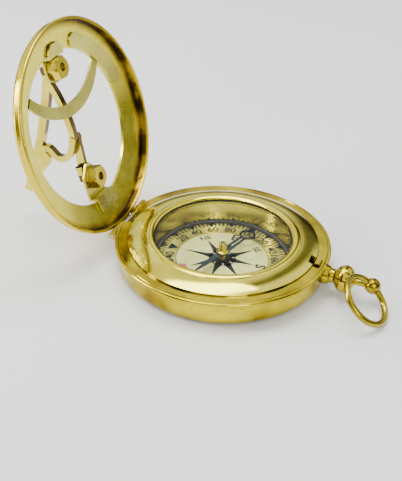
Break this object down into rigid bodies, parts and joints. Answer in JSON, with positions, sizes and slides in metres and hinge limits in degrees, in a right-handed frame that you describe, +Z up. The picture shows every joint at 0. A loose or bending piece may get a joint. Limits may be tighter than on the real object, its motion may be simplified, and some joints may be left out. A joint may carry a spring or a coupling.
{
  "type": "pocket sundial compass",
  "caption": "Round brass pocket compass with a sprung open-ring sundial lid, folding gnomon, push button and bow.",
  "frame": {"origin": "centre of the flat base", "axes": "+Z up, +X from the lid hinge to the push button, Y along the lid hinge pin; the lid is open at rest"},
  "size_m": [0.1407, 0.075, 0.0777],
  "materials": {
    "polished_brass": "polished, light lacquer",
    "yellow_brass": "polished, deeper yellow",
    "lid_brass": "polished cast brass with fine casting grain",
    "spring_steel": "drawn steel",
    "blued_steel": "dark blued, gloss",
    "dial_print": "lacquered print, gloss",
    "clear_glass": "flat, polished",
    "black_gasket": "thin seal",
    "jewel": "dark polished cup"
  },
  "bodies": {
    "case": {"case_body": "polished_brass", "case_knuckles": "yellow_brass", "hinge_pin": "spring_steel", "bezel_dome": "polished_brass", "chamber_cup": "yellow_brass", "dial_card": "dial_print", "pivot_post": "yellow_brass", "pivot_pin": "spring_steel", "glass_gasket": "black_gasket", "glass": "clear_glass", "glass_ring": "yellow_brass", "neck_collar": "polished_brass", "crown": "yellow_brass", "lid_spring": "spring_steel", "spring_rivet": "yellow_brass", "return_spring": "spring_steel"},
    "lid": {"lid_ring": "lid_brass", "lid_knuckle": "yellow_brass", "hour_arc": "lid_brass", "arc_lug": "lid_brass", "upper_bracket": "lid_brass", "lower_bracket": "lid_brass", "clamp_nuts": "yellow_brass", "upper_yoke": "yellow_brass", "lower_yoke": "yellow_brass"},
    "gnomon": {"gnomon_harp": "lid_brass", "gnomon_strut": "lid_brass", "strut_rivet": "yellow_brass"},
    "button": {"push_stem": "yellow_brass", "push_knob": "yellow_brass", "catch_block": "yellow_brass"},
    "bow": {"bow_ring": "polished_brass"},
    "needle": {"compass_needle": "blued_steel", "needle_cap": "yellow_brass", "cap_jewel": "jewel"}
  },
  "joints": [
    {"name": "lid_hinge", "type": "hinge", "parent": "case", "child": "lid", "pos_m": [-0.0368, 0, 0.0082], "axis": [0, 1, 0], "range_deg": [0, 108.5], "stiffness_Nm_per_rad": 0.01, "springref_deg": -28.65},
    {"name": "gnomon_fold", "type": "hinge", "parent": "lid", "child": "gnomon", "pos_m": [-0.06076, 0, 0.03899], "axis": [-0.3173, 0, 0.9483], "range_deg": [0, 90]},
    {"name": "button_push", "type": "slide", "parent": "case", "child": "button", "axis": [-1, 0, 0], "range_m": [0, 0.0015], "stiffness_N_per_m": 800, "springref_m": -0.002, "deforming": ["return_spring"]},
    {"name": "bow_swing", "type": "hinge", "parent": "button", "child": "bow", "pos_m": [0.0534, 0, 0.0067], "axis": [-0.766, 0, 0.6428], "range_deg": [0, 180]},
    {"name": "needle_spin", "type": "hinge", "parent": "case", "child": "needle", "pos_m": [0, 0, 0.0076], "axis": [0, 0, 1], "continuous": true}
  ]
}
